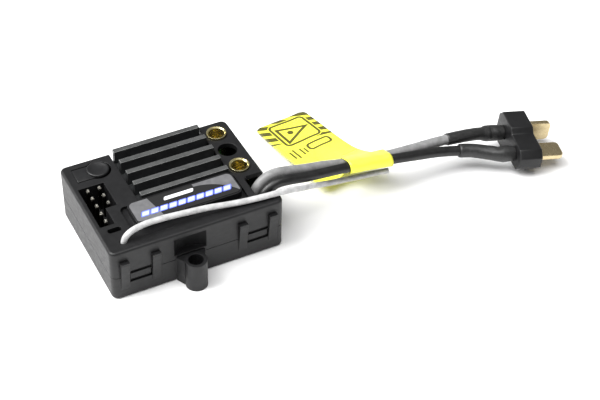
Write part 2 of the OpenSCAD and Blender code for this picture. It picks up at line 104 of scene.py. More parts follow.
class Shader:
    """A Principled material.

    Keyword values go on the shader's own sockets, and the methods add nodes to vary them.
    """

    def __init__(self, name, **values):
        self.material = bpy.data.materials.new(name)
        self.material.use_nodes = True
        self.nodes = self.material.node_tree.nodes
        self.links = self.material.node_tree.links
        self.surface = self.nodes["Principled BSDF"]
        for socket, value in values.items():
            self.surface.inputs[socket.replace("_", " ")].default_value = value
        self.normal = None

    def add(self, kind, *inputs, **settings):
        """A node with its inputs filled in order: a value, or a socket to link. None leaves one alone."""
        node = self.nodes.new("ShaderNode" + kind)
        for key, value in settings.items():
            setattr(node, key, value)
        for socket, value in zip(node.inputs, inputs):
            if value is None:
                continue
            if isinstance(value, bpy.types.NodeSocket):
                self.links.new(value, socket)
            else:
                socket.default_value = value
        return node

    def place(self):
        """The point in the piece's own axes, in millimetres."""
        point = self.add("TexCoord").outputs["Object"]
        return self.add("VectorMath", point, (1 / MM,) * 3, operation="MULTIPLY").outputs[0]

    def surface_place(self):
        """The piece's own UV, which the mesh code keeps in millimetres."""
        return self.add("UVMap").outputs[0]

    def scaled(self, vector, x, y, z):
        return self.add("VectorMath", vector, (x, y, z), operation="MULTIPLY").outputs[0]

    def noise(self, vector, size, detail=2.0, roughness=0.5):
        """Noise with features of about that size in millimetres, from 0 to 1."""
        node = self.add("TexNoise", vector)
        node.inputs["Scale"].default_value = 1 / size
        node.inputs["Detail"].default_value = detail
        node.inputs["Roughness"].default_value = roughness
        return node.outputs["Fac"]

    def math(self, operation, a, b=None):
        return self.add("Math", a, b, operation=operation).outputs[0]

    def split(self, vector):
        return self.add("SeparateXYZ", vector).outputs

    def span(self, value, low, high, to_low=0.0, to_high=1.0):
        """Maps low..high onto to_low..to_high, held at both ends."""
        return self.add("MapRange", value, low, high, to_low, to_high).outputs[0]

    def blend(self, factor, first, second):
        """A colour between two, each a colour or a socket."""
        node = self.add("Mix", data_type="RGBA")
        for index, value in ((0, factor), (6, first), (7, second)):
            if isinstance(value, bpy.types.NodeSocket):
                self.links.new(value, node.inputs[index])
            else:
                node.inputs[index].default_value = value
        return node.outputs[2]

    def feed(self, socket, value):
        self.links.new(value, self.surface.inputs[socket])

    def soften(self, radius):
        """Rounds the look of sharp moulded edges, radius in millimetres."""
        self.normal = self.add("Bevel", radius * MM, samples=6).outputs[0]
        self.feed("Normal", self.normal)

    def bump(self, height, depth):
        """Relief of that depth in millimetres where height is 1."""
        node = self.add("Bump")
        node.inputs["Strength"].default_value = 1.0
        node.inputs["Distance"].default_value = depth * MM
        self.links.new(height, node.inputs["Height"])
        if self.normal:
            self.links.new(self.normal, node.inputs["Normal"])
        self.normal = node.outputs[0]
        self.feed("Normal", self.normal)

    def cover(self, distance, softness=0.04):
        """1 inside an outline whose signed distance in millimetres is given, and 0 outside."""
        return self.span(distance, softness, -softness)

    def rounded_box(self, vector, centre, half, radius):
        """Signed distance to a rectangle with round corners, in the vector's X and Y."""
        offset = self.add("VectorMath", vector, (*centre, 0), operation="SUBTRACT").outputs[0]
        folded = self.add("VectorMath", offset, operation="ABSOLUTE").outputs[0]
        inner = (half[0] - radius, half[1] - radius, 1000)
        beyond = self.add("VectorMath", folded, inner, operation="SUBTRACT").outputs[0]
        outside = self.add("VectorMath", beyond, (0, 0, 0), operation="MAXIMUM").outputs[0]
        length = self.add("VectorMath", outside, operation="LENGTH").outputs["Value"]
        x, y, _ = self.split(beyond)
        inside = self.math("MINIMUM", self.math("MAXIMUM", x, y), 0.0)
        return self.math("SUBTRACT", self.math("ADD", length, inside), radius)

    def beyond_line(self, vector, point, angle):
        """Signed distance from a line through a point, positive on the side that the angle points to."""
        offset = self.add("VectorMath", vector, (*point, 0), operation="SUBTRACT").outputs[0]
        facing = (math.cos(math.radians(angle)), math.sin(math.radians(angle)), 0)
        return self.add("VectorMath", offset, facing, operation="DOT_PRODUCT").outputs["Value"]

    def outline(self, distance, width):
        """Turns the signed distance of a shape into that of a line along its edge."""
        return self.math("SUBTRACT", self.math("ABSOLUTE", distance), width / 2)


def grey(value):
    return (value, value, value, 1.0)


def moulded_plastic(name, colour, roughness, grain=0.16, depth=0.006, edge=0.16):
    """Injection-moulded plastic: a fine eroded grain, faint flow marks and soft edges."""
    s = Shader(name, Base_Color=colour, Roughness=roughness, IOR=1.42)
    place = s.place()
    s.soften(edge)
    fine = s.noise(place, grain, 3.0, 0.6)
    broad = s.noise(place, 5.0, 3.0, 0.5)
    handled = s.noise(s.scaled(place, 1, 1, 2.5), 1.6, 4.0, 0.6)
    tone = s.span(broad, 0.3, 0.7)
    darker = tuple(0.78 * c for c in colour[:3]) + (1.0,)
    lighter = tuple(1.18 * c for c in colour[:3]) + (1.0,)
    s.feed("Base Color", s.blend(tone, darker, lighter))
    s.feed("Roughness", s.math("ADD", s.span(handled, 0.35, 0.75, -0.06, 0.08), roughness))
    s.bump(fine, depth)
    return s.material


def anodised_aluminium(name):
    """Black anodised extrusion, drawn along X, painted darker below the fin tops as shade between the fins,
    with a painted highlight along its edges.
    """
    s = Shader(name, Metallic=0.75, Roughness=0.42)
    place = s.place()
    s.soften(0.1)
    fin_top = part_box("heat_sink")[1][2] / MM
    drawn = s.noise(s.scaled(place, 0.04, 6.0, 6.0), 1.0, 3.0, 0.6)
    blotch = s.noise(place, 2.5, 4.0, 0.55)
    fin_top_colour = s.blend(s.span(blotch, 0.3, 0.7), (0.1, 0.103, 0.103, 1), (0.16, 0.163, 0.161, 1))
    # Along every edge, where the rounded normal turns away from the flat one, the colour is painted pale: a
    # painted highlight.
    flat = s.add("NewGeometry").outputs["Normal"]
    turned = s.add("VectorMath", s.normal, flat, operation="DOT_PRODUCT").outputs["Value"]
    painted_edge_highlight = s.span(turned, 0.99, 0.9)
    fin_top_colour = s.blend(painted_edge_highlight, fin_top_colour, (0.5, 0.51, 0.5, 1))
    # Everything below the fin tops is painted darker: painted shade between the fins.
    painted_gap_shade = s.blend(s.span(blotch, 0.3, 0.7), (0.05, 0.052, 0.054, 1), (0.08, 0.083, 0.085, 1))
    level = s.span(s.split(place)[2], fin_top - 0.1, fin_top - 0.03)
    s.feed("Base Color", s.blend(level, painted_gap_shade, fin_top_colour))
    s.feed("Roughness", s.span(drawn, 0.3, 0.7, 0.34, 0.52))
    s.bump(drawn, 0.01)
    return s.material


def plated_metal(name, colour, tint, roughness):
    """Plated contacts: bright metal with fine tooling lines and a little uneven tarnish."""
    s = Shader(name, Metallic=1.0, Roughness=roughness)
    place = s.place()
    s.soften(0.05)
    tooling = s.noise(s.scaled(place, 0.3, 0.3, 9.0), 1.0, 2.0, 0.6)
    tarnish = s.noise(place, 0.9, 4.0, 0.6)
    s.feed("Base Color", s.blend(s.span(tarnish, 0.35, 0.75), colour, tint))
    s.feed("Roughness", s.span(tooling, 0.25, 0.75, roughness * 0.75, roughness * 1.4))
    s.bump(tooling, 0.003)
    return s.material


def header_pin(name):
    """Square pins: bright plating at the tips; below them the colour is painted near-black as shade down in
    the header's wells.
    """
    s = Shader(name, Metallic=1.0, Roughness=0.3)
    place = s.place()
    s.soften(0.03)
    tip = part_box("header_pins_5")[1][2] / MM
    wear_and_shade_noise = s.noise(place, 0.3, 4.0, 0.6)
    # Below the tips the pins are painted near-black: painted shade in the wells. The noise breaks up that
    # boundary and also varies roughness and bump.
    height = s.math("ADD", s.split(place)[2], s.math("MULTIPLY", wear_and_shade_noise, 0.3))
    bright = s.span(height, tip - 0.75, tip - 0.3)
    s.feed("Base Color", s.blend(bright, (0.03, 0.027, 0.02, 1), (0.95, 0.92, 0.82, 1)))
    s.feed("Roughness", s.span(wear_and_shade_noise, 0.3, 0.7, 0.2, 0.42))
    s.bump(wear_and_shade_noise, 0.004)
    return s.material


def rubber_wire(name, dark, light, roughness, sheen=0.0):
    """Silicone insulation: satin, with dusty patches and faint streaks along its length."""
    s = Shader(name, Roughness=roughness, IOR=1.43, Sheen_Weight=sheen, Sheen_Roughness=0.5)
    along = s.surface_place()
    streaks = s.noise(s.scaled(along, 1.0, 0.12, 1.0), 0.9, 4.0, 0.6)
    dust = s.noise(along, 2.2, 5.0, 0.62)
    fine = s.noise(along, 0.12, 2.0, 0.5)
    s.feed("Base Color", s.blend(s.span(dust, 0.35, 0.7), dark, light))
    s.feed("Roughness", s.span(streaks, 0.3, 0.7, roughness - 0.07, roughness + 0.09))
    s.bump(s.math("ADD", fine, s.math("MULTIPLY", streaks, 2.0)), 0.006)
    return s.material


def shrink_sleeve(name):
    """Black heat-shrink: smooth polyolefin with small lengthwise creases."""
    s = Shader(name, Base_Color=grey(0.018), Roughness=0.4, IOR=1.5)
    along = s.surface_place()
    creases = s.noise(s.scaled(along, 1.0, 0.25, 1.0), 1.3, 5.0, 0.62)
    scuffs = s.noise(along, 0.5, 5.0, 0.7)
    s.feed("Base Color", s.blend(s.span(scuffs, 0.45, 0.8), grey(0.014), grey(0.032)))
    s.feed("Roughness", s.span(scuffs, 0.3, 0.8, 0.34, 0.56))
    s.bump(creases, 0.05)
    return s.material


def circuit_board(name):
    """Green solder resist over a pattern of tracks."""
    s = Shader(name, Roughness=0.35, IOR=1.52)
    place = s.place()
    s.soften(0.05)
    cells = s.add("TexVoronoi", place, feature="F1", distance="MANHATTAN")
    cells.inputs["Scale"].default_value = 0.9
    tracks = s.math("FRACT", s.math("MULTIPLY", cells.outputs["Distance"], 4.0))
    copper = s.span(tracks, 0.52, 0.62)
    s.feed("Base Color", s.blend(copper, (0.006, 0.05, 0.022, 1), (0.012, 0.1, 0.042, 1)))
    s.bump(copper, 0.02)
    return s.material


def chip_moulding(name):
    """Epoxy chip body, slightly sparkly and matte."""
    s = Shader(name, Roughness=0.6, IOR=1.5)
    place = s.place()
    s.soften(0.08)
    filler = s.noise(place, 0.08, 3.0, 0.7)
    s.feed("Base Color", s.blend(s.span(filler, 0.35, 0.7), grey(0.014), grey(0.034)))
    s.bump(filler, 0.006)
    return s.material


def gap_filler(name):
    """Soft thermal pad, blue-grey and slightly sticky."""
    s = Shader(name, Roughness=0.7, Subsurface_Weight=0.1)
    s.surface.inputs["Subsurface Radius"].default_value = (0.001, 0.001, 0.0012)
    fleck = s.noise(s.place(), 0.3, 4.0, 0.7)
    s.feed("Base Color", s.blend(s.span(fleck, 0.3, 0.7), (0.24, 0.33, 0.42, 1), (0.34, 0.43, 0.52, 1)))
    s.bump(fleck, 0.02)
    return s.material


def lamp_lens(name):
    """Milky clear epoxy of a small lamp, unlit."""
    s = Shader(name, Roughness=0.2, IOR=1.5, Subsurface_Weight=0.3)
    s.surface.inputs["Subsurface Radius"].default_value = (0.001, 0.001, 0.001)
    cloud = s.noise(s.place(), 0.4, 3.0, 0.5)
    s.feed("Base Color", s.blend(cloud, (0.68, 0.66, 0.5, 1), (0.85, 0.84, 0.74, 1)))
    return s.material


def label_film(name):
    """Glossy printed label: a grey patch at each end and a plain row of slanted blocks. No lettering."""
    s = Shader(name, Roughness=0.16, IOR=1.5, Coat_Weight=0.5, Coat_Roughness=0.1)
    place = s.place()
    low, high = (Vector(corner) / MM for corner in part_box("name_label"))
    ink = grey(0.012)
    # The left patch ends on a slant; the right one fills the corner outside a large arc.
    left_end = s.math("MAXIMUM", s.beyond_line(place, (low.x + 4.7, high.y - 2.0), 12),
                      s.math("MULTIPLY", s.beyond_line(place, (low.x, low.y + 0.5), 75), -1.0))
    arc = s.rounded_box(place, (low.x + 13.9, low.y - 5.3), (10.7, 10.7), 10.7)
    right_end = s.math("MAXIMUM", s.math("MULTIPLY", arc, -1.0),
                       s.math("MULTIPLY", s.beyond_line(place, (low.x + 14.4, high.y), 0), -1.0))
    cloud = s.noise(place, 1.4, 3.0, 0.5)
    patch = s.blend(s.span(cloud, 0.3, 0.7), (0.105, 0.105, 0.11, 1), (0.15, 0.15, 0.155, 1))
    base = s.blend(s.cover(s.math("MINIMUM", left_end, right_end)), ink, patch)
    # A row of slanted blocks, pale inside and blue at the rim, each with its middle a little different.
    slant, pitch, count = 0.45, 2.04, 10
    x, y, _ = s.split(place)
    level = s.math("SUBTRACT", y, low.y + 2.1)
    run = s.math("SUBTRACT", s.math("SUBTRACT", x, s.math("MULTIPLY", level, slant)), low.x + 1.3)
    turns = s.math("DIVIDE", run, pitch)
    step = s.math("SUBTRACT", s.math("FRACT", turns), 0.5)
    block_place = s.add("CombineXYZ", s.math("MULTIPLY", step, pitch), level, 0.0).outputs[0]
    block = s.rounded_box(block_place, (0, 0), (0.96, 0.8), 0.34)
    whole_row = s.rounded_box(s.add("CombineXYZ", run, level, 0.0).outputs[0],
                              (count * pitch / 2, 0), (count * pitch / 2, 1.0), 0.1)
    block = s.math("MAXIMUM", block, whole_row)
    base = s.blend(s.cover(block), base, (0.13, 0.17, 0.78, 1))
    base = s.blend(s.cover(s.math("ADD", block, 0.2)), base, (0.42, 0.5, 0.95, 1))
    shift = s.math("MULTIPLY", s.math("SINE", s.math("MULTIPLY", s.math("FLOOR", turns), 2.1)), 0.3)
    bar_place = s.add("CombineXYZ", s.math("MULTIPLY", step, pitch),
                      s.math("ADD", level, shift), 0.0).outputs[0]
    bar = s.math("MAXIMUM", s.rounded_box(bar_place, (0, 0), (0.6, 0.2), 0.15), whole_row)
    base = s.blend(s.cover(bar), base, (0.82, 0.86, 1.0, 1))
    # One plain white dash above the row.
    dash_place = s.add("CombineXYZ", s.math("SUBTRACT", x, s.math("MULTIPLY", level, slant)),
                       y, 0.0).outputs[0]
    dash = s.rounded_box(dash_place, (low.x + 9.6, high.y - 1.6), (3.3, 0.5), 0.3)
    base = s.blend(s.cover(dash), base, (0.85, 0.85, 0.88, 1))
    s.feed("Base Color", base)
    wavy = s.noise(place, 2.2, 2.0, 0.5)
    scratches = s.noise(s.scaled(place, 0.5, 8.0, 1.0), 1.0, 4.0, 0.7)
    s.feed("Roughness", s.span(scratches, 0.45, 0.8, 0.14, 0.3))
    s.bump(wavy, 0.03)
    return s.material


def tag_film(name, width):
    """Yellow film: a striped border, a plain frame with a triangle and a dot, and plain bars.

    It has no lettering. UV is in millimetres, across the strip and down from its far end.
    """
    s = Shader(name, Roughness=0.42, IOR=1.5, Subsurface_Weight=0.3)
    s.surface.inputs["Subsurface Radius"].default_value = (0.0008, 0.0008, 0.0003)
    place = s.surface_place()
    fade = s.noise(place, 6.0, 3.0, 0.5)
    base = s.blend(fade, (0.84, 0.83, 0.06, 1), (0.92, 0.91, 0.09, 1))
    ink = (0.085, 0.08, 0.014, 1)
    x, y, _ = s.split(place)
    # Slanted stripes outside the frame, over the far part of the strip.
    frame_at, frame_half = (0.53 * width, 5.6), (4.6, 4.2)
    frame = s.rounded_box(place, frame_at, frame_half, 1.0)
    lean = s.math("SUBTRACT", s.math("MULTIPLY", x, 0.42), s.math("MULTIPLY", y, 0.91))
    bars = s.math("SUBTRACT", s.math("PINGPONG", lean, 1.15), 0.7)
    until = s.math("SUBTRACT", y, s.math("ADD", s.math("MULTIPLY", x, 0.28), 7.6))
    outside = s.math("SUBTRACT", 0.5, frame)
    stripes = s.math("MAXIMUM", s.math("MAXIMUM", bars, outside), until)
    base = s.blend(s.cover(stripes, 0.06), base, ink)
    # The frame's line, and a plain triangle and dot in it.
    sides = [s.beyond_line(place, point, angle)
             for point, angle in (((3.85, 5.7), 180), ((10.7, 5.3), -73), ((10.7, 5.3), 63))]
    triangle = s.math("MAXIMUM", s.math("MAXIMUM", sides[0], sides[1]), sides[2])
    line = s.math("MINIMUM", s.outline(frame, 0.64), s.outline(triangle, 0.74))
    line = s.math("MINIMUM", line, s.rounded_box(place, (6.2, 5.6), (0.75, 0.75), 0.7))
    base = s.blend(s.cover(line, 0.05), base, ink)
    # One outlined bar and four thin rules.
    bar_at, bar_half = (9.2, 12.9), (2.9, 1.1)
    bar = s.outline(s.rounded_box(place, bar_at, bar_half, 0.8), 0.62)
    base = s.blend(s.cover(bar, 0.05), base, ink)
    rules_at, rule_half_width = 13.4, 0.24
    for across, half_length in ((1.6, 1.5), (2.6, 1.9), (4.2, 1.4), (5.2, 1.0)):
        rule = s.rounded_box(place, (across, rules_at), (rule_half_width, half_length), 0.2)
        base = s.blend(s.cover(rule, 0.05), base, ink)
    s.feed("Base Color", base)
    crease = s.noise(s.scaled(place, 1.0, 0.6, 1.0), 3.0, 4.0, 0.6)
    s.feed("Roughness", s.span(crease, 0.3, 0.7, 0.36, 0.5))
    s.bump(crease, 0.06)
    return s.material


CASE = moulded_plastic("case_plastic", (0.006, 0.006, 0.0066, 1.0), 0.46)
BUTTON = moulded_plastic("button_plastic", (0.0075, 0.0075, 0.0082, 1.0), 0.42, grain=0.3, depth=0.002)
HEADER = moulded_plastic("header_plastic", (0.01, 0.01, 0.0105, 1.0), 0.45, grain=0.3, depth=0.002,
                         edge=0.06)
PLUG = moulded_plastic("plug_nylon", (0.0055, 0.0055, 0.006, 1.0), 0.44, grain=0.22, depth=0.004, edge=0.1)
SWITCH = moulded_plastic("switch_body", (0.1, 0.1, 0.105, 1.0), 0.45, edge=0.08)
PLUNGER = moulded_plastic("switch_plunger", (0.78, 0.75, 0.68, 1.0), 0.4, edge=0.08)
ANODISED = anodised_aluminium("black_anodised")
GOLD = plated_metal("gold_plate", (0.66, 0.57, 0.26, 1), (0.84, 0.78, 0.5, 1), 0.24)
PIN_GOLD = header_pin("pin_plate")
BRASS = plated_metal("blade_brass", (0.58, 0.47, 0.27, 1), (0.68, 0.57, 0.35, 1), 0.24)
TIN = plated_metal("tin_plate", (0.62, 0.62, 0.6, 1), (0.78, 0.78, 0.77, 1), 0.3)
CAN = plated_metal("can_aluminium", (0.72, 0.73, 0.74, 1), (0.84, 0.85, 0.86, 1), 0.26)
CERAMIC = moulded_plastic("ceramic", (0.42, 0.27, 0.13, 1.0), 0.4, grain=0.1, depth=0.002, edge=0.05)
BOARD = circuit_board("circuit_board")
CHIP = chip_moulding("chip_body")
PAD = gap_filler("thermal_pad")
LAMP = lamp_lens("lamp_lens")
LABEL = label_film("label_film")
AERIAL = rubber_wire("aerial_sleeve", grey(0.36), grey(0.62), 0.42)
WIRE_GREY = rubber_wire("wire_grey", grey(0.16), grey(0.27), 0.42, sheen=0.1)
WIRE_BLACK = rubber_wire("wire_black", grey(0.006), grey(0.016), 0.34)
SLEEVE = shrink_sleeve("shrink_sleeve")

NODE_MATERIALS = {
    CASE: ["lower_case", "top_cover"],
    SWITCH: ["tact_switch"],
    PLUNGER: ["switch_plunger"],
    BOARD: ["main_board"],
    ANODISED: ["heat_sink"],
    PAD: ["thermal_pad"],
    CHIP: ["power_transistors", "controller_chip", "radio_chip", "voltage_regulator"],
    TIN: ["radio_crystal", "solder_joints"],
    CAN: ["capacitor_left", "capacitor_right"],
    CERAMIC: ["ceramic_capacitors"],
    LAMP: ["status_led"],
    HEADER: ["header_base_5", "header_base_3"],
    PIN_GOLD: ["header_pins_5", "header_pins_3"],
    GOLD: ["motor_socket_rear", "motor_socket_front"],
    LABEL: ["name_label"],
}


def finish_nodes():
    """Gives every CAD node that shows its own finish."""
    for material, names in NODE_MATERIALS.items():
        for name in names:
            for slot in frame["nodes"][name].material_slots:
                slot.material = material


finish_nodes()

# ---------------------------------------------------------------- mesh helpers

# Points of a smoothed path for each point of its route.
PATH_STEPS = 8


def add_piece(name, mesh, material, body="case"):
    """Puts a finished mesh in the scene as a piece that rides on a body."""
    piece = bpy.data.objects.new(name, mesh)
    bpy.context.scene.collection.objects.link(piece)
    mesh.materials.append(material)
    for face in mesh.polygons:
        face.use_smooth = True
    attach(piece, body)
    return piece


def mapped_mesh(name, verts, faces, places):
    """A mesh whose UV map holds the given places, in millimetres."""
    mesh = bpy.data.meshes.new(name)
    mesh.from_pydata(verts, [], faces)
    layer = mesh.uv_layers.new(name="place")
    for face, corners in zip(mesh.polygons, places):
        for loop, uv in zip(face.loop_indices, corners):
            layer.data[loop].uv = uv
    return mesh


def swept_faces(count):
    """The faces of a section with that many corners, swept between two ends: ends first, then sides."""
    faces = [tuple(range(count)), tuple(range(count, 2 * count))]
    faces += [(i, (i + 1) % count, count + (i + 1) % count, count + i) for i in range(count)]
    return faces


def smooth_path(points, steps=PATH_STEPS):
    """Points along a Catmull-Rom curve through the given ones."""
    ends = [2 * points[0] - points[1], *points, 2 * points[-1] - points[-2]]
    path = []
    for a, b, c, d in zip(ends, ends[1:], ends[2:], ends[3:]):
        for i in range(steps):
            t = i / steps
            path.append(0.5 * (2 * b + (c - a) * t + (2 * a - 5 * b + 4 * c - d) * t ** 2
                               + (3 * b - a - 3 * c + d) * t ** 3))
    path.append(points[-1].copy())
    return path


def path_length(path):
    return sum((b - a).length for a, b in zip(path, path[1:]))


def frames_along(path):
    """For each point of a path, two directions square to it that don't twist."""
    side = None
    frames = []
    for i in range(len(path)):
        ahead = (path[min(i + 1, len(path) - 1)] - path[max(i - 1, 0)]).normalized()
        if side is None:
            side = ahead.cross(Vector((0, 1, 0)))
        side = (side - ahead * side.dot(ahead)).normalized()
        frames.append((side, ahead.cross(side)))
    return frames


def tube(name, path, radius, material, sides=32):
    """A round skin along a path, closed at both ends.

    radius(distance, angle) is in metres. UV is round and along, in millimetres.
    """
    verts, distance, last = [], 0.0, path[0]
    marks = []
    for point, (side, up) in zip(path, frames_along(path)):
        distance += (point - last).length
        last = point
        marks.append(distance / MM)
        for k in range(sides):
            angle = 2 * math.pi * k / sides
            outward = math.cos(angle) * side + math.sin(angle) * up
            verts.append(point + radius(distance, angle) * outward)
    faces, places = [], []
    girth = 2 * math.pi * radius(0, 0) / MM
    for i in range(len(path) - 1):
        for k in range(sides):
            n = (k + 1) % sides
            faces.append((i * sides + k, i * sides + n, (i + 1) * sides + n, (i + 1) * sides + k))
            left, right = girth * k / sides, girth * (k + 1) / sides
            places.append([(left, marks[i]), (right, marks[i]),
                           (right, marks[i + 1]), (left, marks[i + 1])])
    for start, flip in ((0, True), ((len(path) - 1) * sides, False)):
        loop = [start + k for k in range(sides)]
        faces.append(tuple(reversed(loop)) if flip else tuple(loop))
        places.append([(0.2, 0.2)] * sides)
    return add_piece(name, mapped_mesh(name, verts, faces, places), material)


# ---------------------------------------------------------------- cords

AERIAL_DIAMETER = 1.3 * MM
WIRE_DIAMETER = 2.35 * MM
SLEEVE_DIAMETER = 3.3 * MM

AERIAL_ROUTE = [
    mm(-15.4, -12, 4.4), mm(-15.4, -12, 8), mm(-15.4, -12, 11), mm(-15.4, -12, 12.3), mm(-15, -12, 13.6),
    mm(-14, -11.9, 14.5), mm(-12.6, -11.7, 14.9), mm(-10.6, -11.4, 15), mm(-8, -11.2, 14.9),
    mm(-4.5, -11.2, 14.7), mm(0, -11.4, 14.4), mm(4.5, -11.7, 14.1), mm(9, -12.2, 13.7), mm(14, -12.8, 13.6),
    mm(19, -13.2, 13.6), mm(22, -12.9, 13), mm(25, -12, 11.6), mm(28, -10.9, 10.2), mm(31.5, -9.5, 8.3),
    mm(34.5, -8.4, 6.8), mm(38, -7.8, 5.8), mm(42, -7.8, 5.3), mm(45.5, -8, 5.1), mm(48.5, -8.4, 5)]
GREY_ROUTE = [
    mm(16.5, -6.4, 5.2), mm(16.5, -6.4, 6.5), mm(16.5, -6.4, 7.7), mm(16.8, -6.4, 9.4), mm(17.7, -6.4, 10.9),
    mm(19, -6.4, 12), mm(20.6, -6.4, 12.6), mm(22.4, -6.4, 12.6), mm(25, -6.4, 12.1), mm(29, -6.3, 11.1),
    mm(33.5, -6.1, 10.1), mm(38.9, -6.2, 8.9), mm(44.2, -6.3, 8.1), mm(49.6, -6.5, 7.6), mm(55.8, -6.6, 7.3),
    mm(60.6, -6.6, 7.1), mm(64.4, -6.7, 6.9), mm(68.4, -6.8, 6.5), mm(72, -6.8, 5.9), mm(74.4, -6.8, 5.2)]
BLACK_ROUTE = [
    mm(16.5, -9, 5.2), mm(16.5, -9, 7.3), mm(16.8, -9, 9), mm(17.7, -8.9, 10.5), mm(19, -8.9, 11.6),
    mm(20.6, -8.8, 12.2), mm(22.4, -8.8, 12.2), mm(24.6, -8.8, 11.9), mm(27.2, -8.8, 11.4),
    mm(29.8, -8.7, 11), mm(32.8, -8.6, 10.6), mm(37.2, -8.5, 10), mm(42.7, -8.6, 9.3),
    mm(48.5, -8.8, 8.5), mm(54.7, -9, 7.5), mm(61, -9.1, 6.3), mm(66, -9.9, 5.5),
    mm(68.8, -10.8, 5.2), mm(71.4, -12.2, 4.9)]
# The point of each wire's route where its sleeve starts.
SLEEVE_FROM = 16

# The plug's own axes, from its CAD box.
PLUG_ANGLE = math.radians(-14)
PLUG_LEAN = math.radians(5)
PLUG_LOW, PLUG_HIGH = (Vector(corner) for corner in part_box("plug_housing"))
PLUG_CENTRE = (PLUG_LOW + PLUG_HIGH) / 2
PLUG_TURN = Matrix.Rotation(PLUG_ANGLE, 3, "Z") @ Matrix.Rotation(PLUG_LEAN, 3, "Y")
PLUG_LENGTH = 5.4 * MM
CONTACT_OFFSET = 3.8 * MM
TAB_LENGTH = 3.4 * MM
WIRE_GAP = 0.25 * MM


def plug_point(axial, across, rise=0.0):
    """A point of the plug: along its axis, across it, and above its middle."""
    return PLUG_CENTRE + PLUG_TURN @ Vector((axial, across, rise))


def to_tab(route, side):
    """A wire's route, carried on to just before the plug's solder tab."""
    return [*route, plug_point(-PLUG_LENGTH / 2 - TAB_LENGTH - WIRE_GAP, side * CONTACT_OFFSET)]


def make_aerial():
    path = smooth_path(AERIAL_ROUTE)

    def radius(distance, angle):
        ripple = noise.noise(Vector((distance * 260, math.cos(angle), math.sin(angle))))
        return AERIAL_DIAMETER / 2 * (1 + 0.05 * ripple)

    aerial = tube("aerial", path, radius, AERIAL, sides=24)
    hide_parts("aerial_wire")


def make_wire(name, route, side, material):
    """One wire of the battery lead. Returns the piece and its path."""
    path = smooth_path(to_tab(route, side))

    def radius(distance, angle):
        ripple = noise.noise(Vector((distance * 180, 2 * math.cos(angle), 2 * math.sin(angle) + side)))
        return WIRE_DIAMETER / 2 * (1 + 0.015 * ripple)

    wire = tube(name, path, radius, material)
    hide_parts("power_wire_" + name.split("_")[1])
    "wire_" + name.split("_")[1]
    return wire, path


def make_sleeve(name, wire_path, side, snug, swell):
    """Heat-shrink over the end of a wire and the tab it is soldered to: a lip, then creases and a shoulder.

    snug is its radius on the wire. The shoulder, where the solder joint is, starts at the share swell of
    its length.
    """
    straight, clear = 1.6 * MM, 3.2 * MM
    rear = plug_point(-PLUG_LENGTH / 2, side * CONTACT_OFFSET)
    entry = plug_point(-PLUG_LENGTH / 2 - straight, side * CONTACT_OFFSET)
    covered = [p for p in wire_path[SLEEVE_FROM * PATH_STEPS::4] if (p - rear).length > clear]
    covered = smooth_path([*covered, entry, rear], 6)
    whole = path_length(covered)
    lip, widening, joint, pinch = 0.12 * MM, 0.12 * MM, 0.14 * MM, 0.22 * MM
    shoulder_span, pinch_span = 0.12, 0.14

    def radius(distance, angle):
        share = distance / whole
        shoulder = 0.5 - 0.5 * math.cos(math.pi * min(max((share - swell) / shoulder_span, 0), 1))
        size = snug + widening * share + (SLEEVE_DIAMETER / 2 + joint - snug) * shoulder
        size -= pinch * min(max((share - (1 - pinch_span)) / pinch_span, 0), 1)
        around = Vector((math.cos(angle), math.sin(angle), 0)) * 1.5
        crease = noise.noise(around + Vector((side, 0, distance * 520)))
        fine = noise.noise(around * 2.4 + Vector((0, side, distance * 1300)))
        size *= 1 - (0.03 + 0.07 * share) * max(crease, 0) - 0.03 * max(fine, 0)
        if distance < lip:
            size -= (lip - distance) * 0.7
        return size

    sleeve = tube(name, covered, radius, SLEEVE, sides=40)
    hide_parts(name.replace("sleeve", "heat_shrink"))
    return sleeve


make_aerial()
grey_wire, grey_path = make_wire("wire_grey", GREY_ROUTE, 1, WIRE_GREY)
black_wire, black_path = make_wire("wire_black", BLACK_ROUTE, -1, WIRE_BLACK)
grey_sleeve = make_sleeve("sleeve_grey", grey_path, 1, 1.42 * MM, 0.6)
black_sleeve = make_sleeve("sleeve_black", black_path, -1, 1.58 * MM, 0.68)

# ---------------------------------------------------------------- tag

TAG_HIGH = Vector(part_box("warning_tag")[1])
TAG_WIDTH = 13.9 * MM
TAG_AT = mm(39.2, 5, 0)
TAG_TURN = Matrix.Rotation(math.radians(8), 3, "Z")
TAG_FILM = 0.2 * MM
TAG_CORNER = 1.4 * MM
TAG_FAR = 17.3
TAG_SLIT = -4.2
TAG_TAIL = -8.7
TAG_RISER = -10.2
BAND_LEFT = 38.1 * MM
# Height of the strip against the distance along it, both in millimetres: where it runs on under the
# wires, and where it rises to the band.
TAIL_HEIGHTS = [(-9.2, 2.7), (-6, 2.8), (-3, 2.7), (1, 2.3), (6, 1.8), (11, 1.4), (15, 1.2), (17.4, 1.1)]
RISE_HEIGHTS = [(-10.4, 7.3), (-9.2, 6.8), (-7.6, 5.8), (-5, 4.5), (-2, 3.4), (2, 2.6), (6, 2.1), (11, 1.6),
                (15, 1.1), (17.4, 0.9)]


def height_at(profile, along):
    """The height of a profile at a distance along it, on straight lines between its points."""
    for (a, low), (b, high) in zip(profile, profile[1:]):
        if along <= b:
            share = max((along - a) / (b - a), 0)
            return low + (high - low) * share
    return profile[-1][1]


def smoothed(profile, along):
    """The same, averaged over a short stretch, so that the strip bends in curves."""
    reach = 1.2
    return sum(height_at(profile, along + reach * k / 3) for k in range(-3, 4)) / 7


